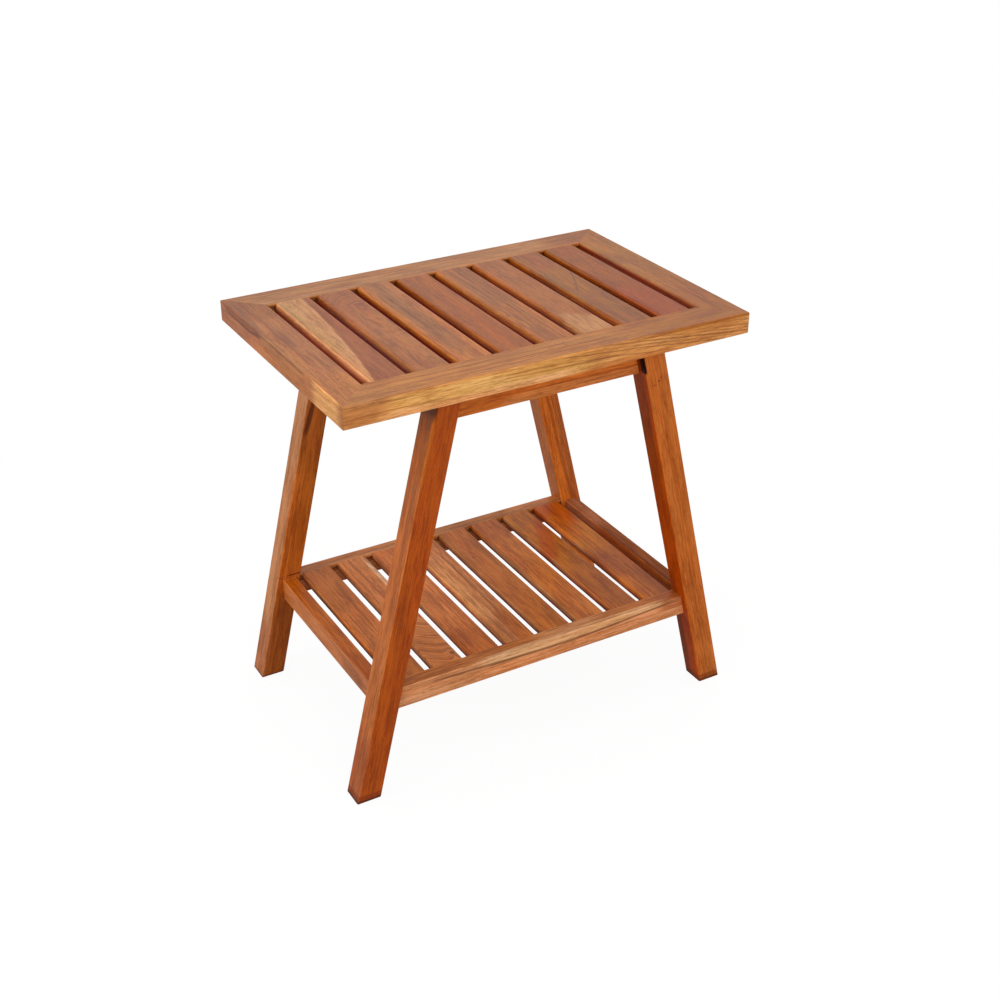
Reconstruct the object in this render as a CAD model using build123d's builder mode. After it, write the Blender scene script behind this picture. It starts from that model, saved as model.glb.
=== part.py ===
# Small wooden bath bench: a slatted seat on four splayed legs, with a slatted shelf below.
# The origin is on the floor under the middle of the seat. X runs along the seat,
# -Y is the front and +Z is up. All sizes are in millimetres.
from build123d import *
import math
import os

# Overall size
bench_length = 455.0
bench_width = 302.0
bench_height = 457.0

# Seat frame and seat slats
top_thickness = 23.0
frame_member_width = 38.0
frame_edge_radius = 1.2
seat_slat_count = 8
seat_slat_gap = 8.3
seat_slat_thickness = 12.0
seat_edge_radius = 3.0
seat_under_radius = 1.5

# Legs, which lean inwards along X only and are cut flat at the floor and under the seat
leg_section = 26.5
leg_splay = 13.35
leg_end_inset = 98.5
leg_front_inset = 7.5
leg_edge_radius = 1.5
foot_chamfer = 1.2

# Aprons under the seat
apron_height = 26.0
apron_thickness = 14.0
apron_edge_radius = 0.8

# Shelf
shelf_height = 123.5
shelf_rail_height = 25.0
shelf_rail_thickness = 15.6
shelf_rail_inset = 8.0
shelf_rail_edge_radius = 1.0
shelf_slat_count = 8
shelf_slat_gap = 9.4
shelf_slat_thickness = 9.6
shelf_edge_radius = 2.5

# Groove in the long members and the slat tongues that sit in it
groove_lip = 3.0
groove_height = 6.0
groove_depth = 6.0
tongue_clearance = 0.15
tongue_end_clearance = 0.5
tongue_side_step = 3.0

# Dowels
small_dowel_diameter = 6.0
small_dowel_length = 20.0
large_dowel_diameter = 8.0
large_dowel_length = 20.0
dowel_clearance = 0.1
dowel_end_clearance = 0.5
dowel_end_chamfer = 0.6
rail_dowel_spacing = 16.0
mitre_dowel_spacing = 16.0
mitre_dowel_rise = 7.0
shelf_dowel_setback = 5.0
leg_dowel_setback = 10.0

# Screws that hold the seat down on the long aprons
screw_count = 3
screw_end_distance = 32.0
screw_diameter = 4.0
screw_length = 27.0
screw_head_diameter = 8.0
screw_head_height = 2.5
screw_tip_length = 3.0
screw_tip_diameter = 1.0
screw_clearance = 0.25
pilot_clearance = 0.05
pilot_end_clearance = 0.5
counterbore_diameter = 9.0
counterbore_depth = 12.0
drive_slot_width = 1.2
drive_slot_length = 5.0
drive_slot_depth = 1.2

# Heights and half sizes that the pieces share
seat_underside = bench_height - top_thickness
apron_bottom = seat_underside - apron_height
shelf_rail_bottom = shelf_height - shelf_rail_height
half_length = bench_length / 2
half_width = bench_width / 2
opening_half_length = half_length - frame_member_width
opening_half_width = half_width - frame_member_width
leg_outer_y = half_width - leg_front_inset
leg_inner_y = leg_outer_y - leg_section
leg_centre_y = leg_outer_y - leg_section / 2
lean = math.tan(math.radians(leg_splay))
leg_level_width = leg_section / math.cos(math.radians(leg_splay))


def leg_outer_x(z):
    return half_length - leg_end_inset + (seat_underside - z) * lean


def leg_inner_x(z):
    return leg_outer_x(z) - leg_level_width


# Positions of the pieces between the legs
apron_y = leg_inner_y + apron_thickness / 2
side_apron_x = leg_inner_x(apron_bottom) + apron_thickness / 2
shelf_rail_outer_y = leg_outer_y - shelf_rail_inset
shelf_rail_y = shelf_rail_outer_y - shelf_rail_thickness / 2
shelf_rail_inner_y = shelf_rail_outer_y - shelf_rail_thickness
shelf_side_inner_x = leg_inner_x(shelf_rail_bottom)
shelf_side_x = shelf_side_inner_x + shelf_rail_thickness / 2

# Slat widths follow from the openings, the counts and the gaps
seat_slat_width = (2 * opening_half_length - (seat_slat_count + 1) * seat_slat_gap) / seat_slat_count
shelf_slat_width = (2 * shelf_side_inner_x - (shelf_slat_count + 1) * shelf_slat_gap) / shelf_slat_count

ends = {"left": -1, "right": 1}
faces = {"front": -1, "back": 1}

os.makedirs("parts", exist_ok=True)


def save(piece, name):
    piece.part.label = name
    export_step(piece.part, f"parts/{name}.step")


# Planes at the middle of each dowel, with the plane's normal along the dowel
def mitre_dowel_planes(x_side, y_side):
    middle_x = half_length - frame_member_width / 2
    middle_y = half_width - frame_member_width / 2
    step = mitre_dowel_spacing / 2 * math.sqrt(0.5)
    height = seat_underside + mitre_dowel_rise
    return [
        Plane(
            origin=(x_side * (middle_x + shift), y_side * (middle_y + shift), height),
            z_dir=(x_side, -y_side, 0),
        )
        for shift in (-step, step)
    ]


def rail_dowel_planes(x_side, y, mid_height):
    return [
        Plane(origin=(x_side * leg_inner_x(height), y, height), z_dir=(1, 0, 0))
        for height in (mid_height - rail_dowel_spacing / 2, mid_height + rail_dowel_spacing / 2)
    ]


def apron_dowel_planes(x_side, y_side):
    return rail_dowel_planes(x_side, y_side * apron_y, seat_underside - apron_height / 2)


def shelf_dowel_planes(x_side, y_side):
    y = y_side * (shelf_rail_outer_y - shelf_dowel_setback)
    return rail_dowel_planes(x_side, y, shelf_height - shelf_rail_height / 2)


def side_apron_dowel_planes(x_side, y_side):
    height = seat_underside - apron_height / 2
    return [Plane(origin=(x_side * side_apron_x, y_side * leg_inner_y, height), z_dir=(0, 1, 0))]


def side_shelf_dowel_planes(x_side, y_side):
    height = shelf_height - shelf_rail_height / 2
    return [Plane(origin=(x_side * shelf_side_x, y_side * leg_inner_y, height), z_dir=(0, 1, 0))]


def leg_top_dowel_planes(x_side, y_side):
    x = leg_outer_x(seat_underside) - leg_level_width / 2
    y = leg_outer_y - leg_dowel_setback
    return [Plane(origin=(x_side * x, y_side * y, seat_underside), z_dir=(0, 0, 1))]


def drill_dowel_holes(planes, diameter, length):
    with Locations(*planes):
        Cylinder(
            diameter / 2 + dowel_clearance,
            length + 2 * dowel_end_clearance,
            mode=Mode.SUBTRACT,
        )


def make_dowels(name, planes, diameter, length):
    with BuildPart() as dowels:
        with Locations(*planes):
            Cylinder(diameter / 2, length)
        chamfer(dowels.edges().filter_by(GeomType.CIRCLE), dowel_end_chamfer)
    save(dowels, name)


def corner_planes(plane_function):
    return [plane for x_side in ends.values() for y_side in faces.values()
            for plane in plane_function(x_side, y_side)]


# Long members of the seat frame, mitred at both ends, with the groove for the slats
screw_reach = leg_inner_x(seat_underside) - screw_end_distance
screw_shifts = [screw_reach * (2 * number / (screw_count - 1) - 1) for number in range(screw_count)]


def make_long_member(name, y_side):
    with BuildPart() as member:
        with BuildSketch(Plane.XY.offset(seat_underside)):
            with BuildLine():
                Polyline(
                    (-half_length, y_side * half_width),
                    (half_length, y_side * half_width),
                    (opening_half_length, y_side * opening_half_width),
                    (-opening_half_length, y_side * opening_half_width),
                    close=True,
                )
            make_face()
        extrude(amount=top_thickness, dir=(0, 0, 1))
        outer_edges = member.edges().filter_by(Axis.X).group_by(Axis.Y)[0 if y_side < 0 else -1]
        fillet(outer_edges, frame_edge_radius)
        with BuildSketch(Plane.YZ):
            with Locations((y_side * opening_half_width, bench_height - groove_lip - groove_height / 2)):
                Rectangle(2 * groove_depth, groove_height)
        extrude(amount=opening_half_length, both=True, mode=Mode.SUBTRACT)
        for x_side in ends.values():
            drill_dowel_holes(mitre_dowel_planes(x_side, y_side), small_dowel_diameter, small_dowel_length)
            drill_dowel_holes(leg_top_dowel_planes(x_side, y_side), large_dowel_diameter, large_dowel_length)
        for shift in screw_shifts:
            with Locations(Plane(origin=(shift, y_side * apron_y, seat_underside), z_dir=(0, 0, -1))):
                Hole(
                    screw_diameter / 2 + pilot_clearance,
                    depth=counterbore_depth + screw_length - apron_height + pilot_end_clearance,
                )
    save(member, name)


# End members of the seat frame, mitred, with a rounded inner top edge like the slats
def make_end_member(name, x_side):
    with BuildPart() as member:
        with BuildSketch(Plane.XY.offset(seat_underside)):
            with BuildLine():
                Polyline(
                    (x_side * half_length, -half_width),
                    (x_side * half_length, half_width),
                    (x_side * opening_half_length, opening_half_width),
                    (x_side * opening_half_length, -opening_half_width),
                    close=True,
                )
            make_face()
        extrude(amount=top_thickness, dir=(0, 0, 1))
        across = member.edges().filter_by(Axis.Y).group_by(Axis.X)
        outer_edges = across[0 if x_side < 0 else -1]
        inner_top_edge = across[-1 if x_side < 0 else 0].sort_by(Axis.Z)[-1]
        fillet(outer_edges, frame_edge_radius)
        fillet(inner_top_edge, seat_edge_radius)
        for y_side in faces.values():
            drill_dowel_holes(mitre_dowel_planes(x_side, y_side), small_dowel_diameter, small_dowel_length)
    save(member, name)


# One slat: a rounded strip with a tongue at each end
def make_slat(name, centre_x, top_z, width, thickness, half_span, top_radius, under_radius):
    tongue_height = groove_height - 2 * tongue_clearance
    tongue_z = top_z - groove_lip - groove_height / 2
    with BuildPart() as slat:
        with BuildSketch(Plane.XZ) as profile:
            with Locations((centre_x, top_z - thickness / 2)):
                Rectangle(width, thickness)
            fillet(profile.vertices().group_by(Axis.Y)[-1], top_radius)
            fillet(profile.vertices().group_by(Axis.Y)[0], under_radius)
        extrude(amount=half_span, both=True)
        with BuildSketch(Plane.XZ):
            with Locations((centre_x, tongue_z)):
                Rectangle(width - 2 * tongue_side_step, tongue_height)
        extrude(amount=half_span + groove_depth - tongue_end_clearance, both=True)
    save(slat, name)


# Legs
def make_leg(name, x_side, y_side):
    with BuildPart() as leg:
        with BuildSketch(Plane.XZ.offset(-y_side * leg_centre_y)):
            with BuildLine():
                Polyline(
                    (x_side * leg_outer_x(0), 0),
                    (x_side * leg_outer_x(seat_underside), seat_underside),
                    (x_side * leg_inner_x(seat_underside), seat_underside),
                    (x_side * leg_inner_x(0), 0),
                    close=True,
                )
            make_face()
        extrude(amount=leg_section / 2, both=True)
        fillet(leg.edges().filter_by(Axis((0, 0, 0), (-x_side * lean, 0, 1))), leg_edge_radius)
        chamfer(leg.faces().sort_by(Axis.Z)[0].edges(), foot_chamfer)
        drill_dowel_holes(leg_top_dowel_planes(x_side, y_side), large_dowel_diameter, large_dowel_length)
        for planes in (apron_dowel_planes(x_side, y_side), shelf_dowel_planes(x_side, y_side)):
            drill_dowel_holes(planes, small_dowel_diameter, small_dowel_length)
        for planes in (side_apron_dowel_planes(x_side, y_side), side_shelf_dowel_planes(x_side, y_side)):
            drill_dowel_holes(planes, large_dowel_diameter, large_dowel_length)
    save(leg, name)


# A rail between the two front legs or the two back legs, with its ends cut to their lean
def long_rail_profile(bottom, top):
    Polyline(
        (-leg_inner_x(bottom), bottom),
        (leg_inner_x(bottom), bottom),
        (leg_inner_x(top), top),
        (-leg_inner_x(top), top),
        close=True,
    )


def make_long_apron(name, y_side):
    with BuildPart() as apron:
        with BuildSketch(Plane.XZ.offset(-y_side * apron_y)):
            with BuildLine():
                long_rail_profile(apron_bottom, seat_underside)
            make_face()
        extrude(amount=apron_thickness / 2, both=True)
        fillet(apron.edges().filter_by(Axis.X).group_by(Axis.Z)[0], apron_edge_radius)
        for x_side in ends.values():
            drill_dowel_holes(apron_dowel_planes(x_side, y_side), small_dowel_diameter, small_dowel_length)
        for shift in screw_shifts:
            with Locations(Plane(origin=(shift, y_side * apron_y, apron_bottom), z_dir=(0, 0, -1))):
                CounterBoreHole(
                    radius=screw_diameter / 2 + screw_clearance,
                    counter_bore_radius=counterbore_diameter / 2,
                    counter_bore_depth=counterbore_depth,
                    depth=apron_height,
                )
    save(apron, name)


def make_long_shelf_rail(name, y_side):
    with BuildPart() as rail:
        with BuildSketch(Plane.XZ.offset(-y_side * shelf_rail_y)):
            with BuildLine():
                long_rail_profile(shelf_rail_bottom, shelf_height)
            make_face()
        extrude(amount=shelf_rail_thickness / 2, both=True)
        outer_edges = rail.edges().filter_by(Axis.X).group_by(Axis.Y)[0 if y_side < 0 else -1]
        fillet(outer_edges, shelf_rail_edge_radius)
        with BuildSketch(Plane.YZ):
            with Locations((y_side * shelf_rail_inner_y, shelf_height - groove_lip - groove_height / 2)):
                Rectangle(2 * groove_depth, groove_height)
        extrude(amount=leg_inner_x(shelf_rail_bottom), both=True, mode=Mode.SUBTRACT)
        for x_side in ends.values():
            drill_dowel_holes(shelf_dowel_planes(x_side, y_side), small_dowel_diameter, small_dowel_length)
    save(rail, name)


# An upright rail between a front leg and the back leg behind it
def make_side_rail(name, centre_x, bottom, top, thickness, edge_radius, dowel_planes, x_side):
    with BuildPart() as rail:
        with BuildSketch(Plane.XZ):
            with Locations((x_side * centre_x, (bottom + top) / 2)):
                Rectangle(thickness, top - bottom)
        extrude(amount=leg_inner_y, both=True)
        fillet(rail.edges().filter_by(Axis.Y), edge_radius)
        for y_side in faces.values():
            drill_dowel_holes(dowel_planes(x_side, y_side), large_dowel_diameter, large_dowel_length)
    save(rail, name)


# Wood screws, heads down, standing in the counterbores of the long aprons
def make_screws(name):
    bearing_height = apron_bottom + counterbore_depth
    places = [(shift, y_side * apron_y) for shift in screw_shifts for y_side in faces.values()]
    with BuildPart() as screws:
        with BuildSketch(Plane.XY.offset(bearing_height)):
            with Locations(*places):
                Circle(screw_diameter / 2)
        extrude(amount=screw_length - screw_tip_length)
        with Locations(*[(x, y, bearing_height + screw_length - screw_tip_length / 2) for x, y in places]):
            Cone(screw_diameter / 2, screw_tip_diameter / 2, screw_tip_length)
        with BuildSketch(Plane.XY.offset(bearing_height - screw_head_height)):
            with Locations(*places):
                Circle(screw_head_diameter / 2)
        extrude(amount=screw_head_height)
        with BuildSketch(Plane.XY.offset(bearing_height - screw_head_height)):
            with Locations(*places):
                Rectangle(drive_slot_length, drive_slot_width)
                Rectangle(drive_slot_width, drive_slot_length)
        extrude(amount=drive_slot_depth, mode=Mode.SUBTRACT)
    save(screws, name)


for face, y_side in faces.items():
    make_long_member(f"seat_frame_{face}", y_side)
    make_long_apron(f"apron_{face}", y_side)
    make_long_shelf_rail(f"shelf_rail_{face}", y_side)

for end, x_side in ends.items():
    make_end_member(f"seat_frame_{end}", x_side)
    make_side_rail(
        f"apron_{end}", side_apron_x, apron_bottom, seat_underside, apron_thickness,
        apron_edge_radius, side_apron_dowel_planes, x_side,
    )
    make_side_rail(
        f"shelf_rail_{end}", shelf_side_x, shelf_rail_bottom, shelf_height, shelf_rail_thickness,
        shelf_rail_edge_radius, side_shelf_dowel_planes, x_side,
    )
    for face, y_side in faces.items():
        make_leg(f"leg_{face}_{end}", x_side, y_side)

for number in range(seat_slat_count):
    centre = (number - (seat_slat_count - 1) / 2) * (seat_slat_width + seat_slat_gap)
    make_slat(
        f"seat_slat_{number + 1}", centre, bench_height, seat_slat_width, seat_slat_thickness,
        opening_half_width, seat_edge_radius, seat_under_radius,
    )

for number in range(shelf_slat_count):
    centre = (number - (shelf_slat_count - 1) / 2) * (shelf_slat_width + shelf_slat_gap)
    make_slat(
        f"shelf_slat_{number + 1}", centre, shelf_height, shelf_slat_width, shelf_slat_thickness,
        shelf_rail_inner_y, shelf_edge_radius, shelf_edge_radius,
    )

make_dowels("seat_mitre_dowels", corner_planes(mitre_dowel_planes), small_dowel_diameter, small_dowel_length)
make_dowels("apron_dowels", corner_planes(apron_dowel_planes), small_dowel_diameter, small_dowel_length)
make_dowels("shelf_rail_dowels", corner_planes(shelf_dowel_planes), small_dowel_diameter, small_dowel_length)
make_dowels(
    "apron_side_dowels", corner_planes(side_apron_dowel_planes), large_dowel_diameter, large_dowel_length
)
make_dowels(
    "shelf_side_dowels", corner_planes(side_shelf_dowel_planes), large_dowel_diameter, large_dowel_length
)
make_dowels("leg_top_dowels", corner_planes(leg_top_dowel_planes), large_dowel_diameter, large_dowel_length)
make_screws("seat_screws")
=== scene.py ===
import math

import bpy
from mathutils import Matrix, Vector


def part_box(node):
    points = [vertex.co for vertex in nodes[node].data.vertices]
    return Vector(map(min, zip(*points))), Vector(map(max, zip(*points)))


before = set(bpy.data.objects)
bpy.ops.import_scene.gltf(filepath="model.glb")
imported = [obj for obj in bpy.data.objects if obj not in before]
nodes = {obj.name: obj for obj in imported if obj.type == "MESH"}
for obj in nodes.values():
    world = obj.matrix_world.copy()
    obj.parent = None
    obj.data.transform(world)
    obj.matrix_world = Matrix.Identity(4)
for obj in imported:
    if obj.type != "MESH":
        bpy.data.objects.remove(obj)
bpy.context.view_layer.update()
print("bench frame loaded:", len(nodes), "pieces")


def tone(red, green, blue):  # a colour as a paint chart gives it, 0 to 255
    def straight(part):
        part = part / 255
        return part / 12.92 if part <= 0.04045 else ((part + 0.055) / 1.055) ** 2.4
    return (straight(red), straight(green), straight(blue), 1.0)


# A socket that can be used in sums: each operator adds the node it needs
class Value:
    def __init__(self, paint, socket):
        self.paint = paint
        self.socket = socket

    def sum(self, operation, first, second=0.0):
        return self.paint.add("ShaderNodeMath", {"operation": operation}, {0: first, 1: second})

    def __add__(self, other):
        return self.sum("ADD", self, other)

    def __radd__(self, other):
        return self.sum("ADD", other, self)

    def __sub__(self, other):
        return self.sum("SUBTRACT", self, other)

    def __rsub__(self, other):
        return self.sum("SUBTRACT", other, self)

    def __mul__(self, other):
        return self.sum("MULTIPLY", self, other)

    def __rmul__(self, other):
        return self.sum("MULTIPLY", other, self)

    def __truediv__(self, other):
        return self.sum("DIVIDE", self, other)

    def __neg__(self):
        return self.sum("MULTIPLY", self, -1.0)

    def size(self):
        return self.sum("ABSOLUTE", self)

    def root(self):
        return self.sum("SQRT", self)

    def part(self):  # what is left of the last whole number
        return self.sum("FRACT", self)

    def most(self, other):
        return self.sum("MAXIMUM", self, other)


# The nodes of one material or of the world
class Paint:
    def __init__(self, owner):
        self.owner = owner
        owner.use_nodes = True
        self.tree = owner.node_tree
        self.tree.nodes.clear()

    # the one way a node is made: its type, its settings, then its sockets; gives the output asked for
    def add(self, kind, settings=None, sockets=None, output=0):
        made = self.tree.nodes.new(kind)
        for key, setting in (settings or {}).items():
            if key == "stops":
                ramp = made.color_ramp
                while len(ramp.elements) < len(setting):
                    ramp.elements.new(0.5)
                for element, (place, colour) in zip(ramp.elements, setting):
                    element.position = place
                    element.color = colour
            else:
                setattr(made, key, setting)
        for key, value in (sockets or {}).items():
            if isinstance(value, Value):
                self.tree.links.new(value.socket, made.inputs[key])
            else:
                made.inputs[key].default_value = value
        return Value(self, made.outputs[output]) if made.outputs else None

    def mix(self, first, second, factor):
        return self.add("ShaderNodeMix", {"data_type": "RGBA"}, {0: factor, 6: first, 7: second}, 2)

    def tint(self, first, second, factor):  # the first colour multiplied by the second
        return self.add("ShaderNodeMix", {"data_type": "RGBA", "blend_type": "MULTIPLY"},
                        {0: factor, 6: first, 7: second}, 2)

    def step(self, value, low, high):  # 0 before low, 1 after high, smooth between
        return self.add("ShaderNodeMapRange", {"interpolation_type": "SMOOTHSTEP"},
                        {0: value, 1: low, 2: high, 3: 0.0, 4: 1.0})

    def window(self, value, low, high, soft):  # 1 from low to high, fading outside
        return self.step(value, low - soft, low) * self.step(value, high + soft, high)

    def point(self, x, y, z):
        return self.add("ShaderNodeCombineXYZ", None, {0: x, 1: y, 2: z})

    def noise(self, where, detail=2.0, roughness=0.5):
        return self.add("ShaderNodeTexNoise", {"noise_dimensions": "3D"},
                        {"Vector": where, "Scale": 1.0, "Detail": detail, "Roughness": roughness})

    def finish(self, surface, kind="Material"):
        self.add("ShaderNodeOutput" + kind, None, {"Surface": surface})
        return self.owner


# Oiled wood, worked out in the solid so that faces, edges and end grain agree.
# Lengths in a look are millimetres from the piece's centre, in its own directions.
plainWood = {
    "main": tone(170, 94, 30), "sides": {},  # the piece's tone, and others for the faces on one side
    "light": (1.24, 1.34, 1.6, 1), "dark": (0.66, 0.56, 0.45, 1),  # what the grain does to the tone
    "ringGap": 5.0, "pith": (60.0, -40.0), "rise": 0.03, "bend": None, "wander": 5.0,
    "bands": 0.5, "lines": 0.32, "fibres": 1.25, "threads": 1.2, "flecks": 0.9, "blotch": 1.1, "warmth": 0.9,
    # the gap setting paints light and shade on the slats' flanks; the edge setting lightens edges, partly as wear and
    # partly as a painted highlight
    "marks": [], "knots": [], "wearAndSheen": 0.3, "endDark": 0.25, "pores": 0.6, "gapShade": 0.0, "gapDepth": (3.0, 8.5),
    "gloss": 0.3, "rough": 0.42, "bump": 0.12, "seed": 0.0,
}
plainMark = {"along": (-400, 400), "across": (-60, 60), "through": None, "slope": 0.0, "curve": 0.0,
             "soft": 2.0, "fade": 15.0, "wave": 0.0, "fuzz": 3.0, "ragged": 0.0, "skew": 0.0, "strength": 0.8, "onEdge": False}
plainKnot = {"at": (0, 0), "size": 3.0, "long": 1.25, "tone": tone(92, 44, 22), "strength": 0.8, "through": None}
sideWays = {"front": (0, -1, 0), "back": (0, 1, 0), "left": (-1, 0, 0), "right": (1, 0, 0),
            "top": (0, 0, 1), "under": (0, 0, -1)}


def woodMaterial(name, look, centre, along, across, through, halves):
    look = {**plainWood, **look}
    paint = Paint(bpy.data.materials.new(name))
    where = paint.add("ShaderNodeTexCoord", None, None, "Object")
    facing = paint.add("ShaderNodeTexCoord", None, None, "Normal")

    def dot(first, direction):
        return paint.add("ShaderNodeVectorMath", {"operation": "DOT_PRODUCT"}, {0: first, 1: tuple(direction)}, "Value")

    u, v, w = (dot(where, way * 1000) - way.dot(centre) * 1000 for way in (along, across, through))
    seed = look["seed"] * 37.0

    # the grain wanders slowly along the piece; its rings stand round a pith line outside it
    slow = paint.noise(paint.point(u * 0.006 + seed, v * 0.012, w * 0.012), 1.5) - 0.5
    sway = paint.noise(paint.point(u * 0.011 + seed, v * 0.02 + 7.0, w * 0.02), 2.0) - 0.5
    run = u * look["rise"]
    if look["bend"]:  # beyond this place the rings close in arches
        run = ((u - look["bend"]["at"]) * look["bend"]["side"]).most(0.0) * look["bend"]["rise"]
    vv = v - look["pith"][0] + slow * (look["wander"] * 2)
    ww = w - look["pith"][1] + run + sway * (look["wander"] * 2)
    rings = (vv * vv + ww * ww).root()
    for knot in look["knots"]:
        knot = {**plainKnot, **knot}
        du = (u - knot["at"][0]) / (knot["size"] * 3.0)
        dv = (v - knot["at"][1]) / (knot["size"] * 1.4)
        near = paint.add("ShaderNodeMath", {"operation": "EXPONENT"}, {0: -(du * du + dv * dv)})
        rings = rings + near * (knot["size"] * 1.6)
    side = rings if look["bend"] else v  # in arches the fibres follow the rings
    rings = rings / look["ringGap"]

    # uneven bands, the fine dark line that ends each year's ring, fibres, pores and blotches
    band = paint.noise(paint.point(rings * 0.55 + seed, u * 0.0015, 3.0), 3.0, 0.6)
    ringPlace = (rings + band * 1.4).part()
    lateLine = paint.step(ringPlace, 0.35, 0.97) * paint.step(ringPlace, 1.0, 0.96)
    fibre = paint.noise(paint.point(u * 0.013 + seed, side * 0.42, w * 0.42), 4.0, 0.66)
    thread = paint.noise(paint.point(u * 0.055 + seed, side * 1.0, w * 1.0), 3.0, 0.62)
    fineFibre = paint.noise(paint.point(u * 0.16 + seed, side * 2.2, w * 2.2), 2.0, 0.6)
    pore = paint.step(paint.noise(paint.point(u * 0.12 + seed, v * 1.5, w * 1.5), 1.0), 0.64, 0.74)
    blotch = paint.noise(paint.point(u * 0.018 + seed, v * 0.065, w * 0.065), 3.0, 0.55)
    warmth = paint.noise(paint.point(u * 0.007 - seed, v * 0.08, w * 0.08), 2.0)

    # the tone of each side, then marks that stand in certain places
    colour = paint.mix(look["main"], look["main"], 0.0)
    for side, sideTone in look["sides"].items():
        colour = paint.mix(colour, sideTone, paint.step(dot(facing, sideWays[side]), 0.45, 0.85))
    for mark in look["marks"]:
        mark = {**plainMark, **mark}
        level, depth = (w, v) if mark["onEdge"] else (v, w)
        line = level - u * mark["slope"] - u * u * mark["curve"] - slow * mark["wave"] - (fibre - 0.5) * mark["fuzz"]
        reach = u - v * mark["skew"] - (fibre - 0.5) * mark["ragged"]
        body = paint.window(line, *mark["across"], mark["soft"]) * paint.window(reach, *mark["along"], mark["fade"])
        if mark["through"]:
            body = body * paint.window(depth, *mark["through"], 1.5)
        colour = paint.mix(colour, mark["tone"], body * mark["strength"])

    # light and dark grain on top of the tone
    grain = (band - 0.5) * (look["bands"] * 3) + (fibre - 0.5) * (look["fibres"] * 3.2) \
        + (thread - 0.5) * (look["threads"] * 3.4) + (fineFibre - 0.5) * (look["flecks"] * 3) \
        + (blotch - 0.5) * (look["blotch"] * 2.8)
    colour = paint.tint(colour, look["light"], grain)
    colour = paint.tint(colour, look["dark"], lateLine * look["lines"] - grain)
    colour = paint.tint(colour, (1.06, 0.93, 0.78, 1), (warmth - 0.5) * (look["warmth"] * 4))
    colour = paint.tint(colour, (0.94, 1.03, 1.2, 1), (0.5 - warmth) * (look["warmth"] * 4))
    colour = paint.tint(colour, (0.78, 0.70, 0.62, 1), paint.step(fineFibre, 0.5, 0.8) * 0.35)
    colour = paint.tint(colour, (0.6, 0.5, 0.4, 1), pore * look["pores"])
    for knot in look["knots"]:
        knot = {**plainKnot, **knot}
        du = (u - knot["at"][0]) / (knot["size"] * knot["long"])
        dv = (v - knot["at"][1]) / knot["size"]
        core = paint.step((du * du + dv * dv).root() + (fibre - 0.5) * 0.5, 1.0, 0.35)
        if knot["through"]:
            core = core * paint.window(w, *knot["through"], 2.0)
        colour = paint.mix(colour, knot["tone"], core * knot["strength"])

    # painted light and shade on the flanks in the gaps: lighter higher up, darkened to red-brown and made duller lower
    # down where shade falls
    dull = 0.0
    if look["gapShade"]:
        flank = paint.step(dot(facing, across).size(), 0.6, 0.95) * look["gapShade"]
        deepShade = flank * paint.step(w, *(halves[2] - depth for depth in look["gapDepth"]))
        colour = paint.tint(colour, (1.2, 1.2, 1.2, 1), flank)
        colour = paint.tint(colour, (0.42, 0.0, 0.0, 1), deepShade)
        dull = deepShade * 0.45

    # edges lighter and rougher, partly rubbed wear and partly a painted highlight along the arrises; darker end grain
    edge = paint.step(v.size(), halves[1] - 2.0, halves[1] - 0.4) * paint.step(w.size(), halves[2] - 2.0, halves[2] - 0.4)
    rubbedAndSheen = edge * (fibre + 0.3) * look["wearAndSheen"]
    colour = paint.tint(colour, (1.3, 1.42, 1.6, 1), rubbedAndSheen)
    ended = paint.step(u.size(), halves[0] - 1.6, halves[0] - 0.2)
    colour = paint.tint(colour, (0.6, 0.5, 0.42, 1), ended * look["endDark"])

    rough = fibre * 0.1 + pore * 0.15 + rubbedAndSheen * 0.2 + (look["rough"] - 0.05) + dull
    height = (fineFibre + fibre) * 0.5 - pore * 0.4 - lateLine * 0.15
    normal = paint.add("ShaderNodeBump", None, {"Strength": look["bump"], "Distance": 0.0006, "Height": height})
    return paint.finish(paint.add("ShaderNodeBsdfPrincipled", None, {
        "Base Color": colour, "Roughness": rough, "Normal": normal, "IOR": 1.5, "Specular IOR Level": look["gloss"]}))


def place(name, look, along, across, through, halves=None):
    low, high = (Vector(corner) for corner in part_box(name))
    ways = [Vector(way) for way in (along, across, through)]
    if not halves:
        halves = [sum(abs(way[axis]) * (high - low)[axis] for axis in range(3)) * 500 for way in ways]
    piece = nodes[name]
    piece.data.materials.clear()
    piece.data.materials.append(woodMaterial(name + ".wood", look, (low + high) / 2, *ways, halves))


alongX, alongY, alongZ = (1, 0, 0), (0, 1, 0), (0, 0, 1)
seatGloss, shelfGloss, legGloss = 0.4, 0.25, 0.16

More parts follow.
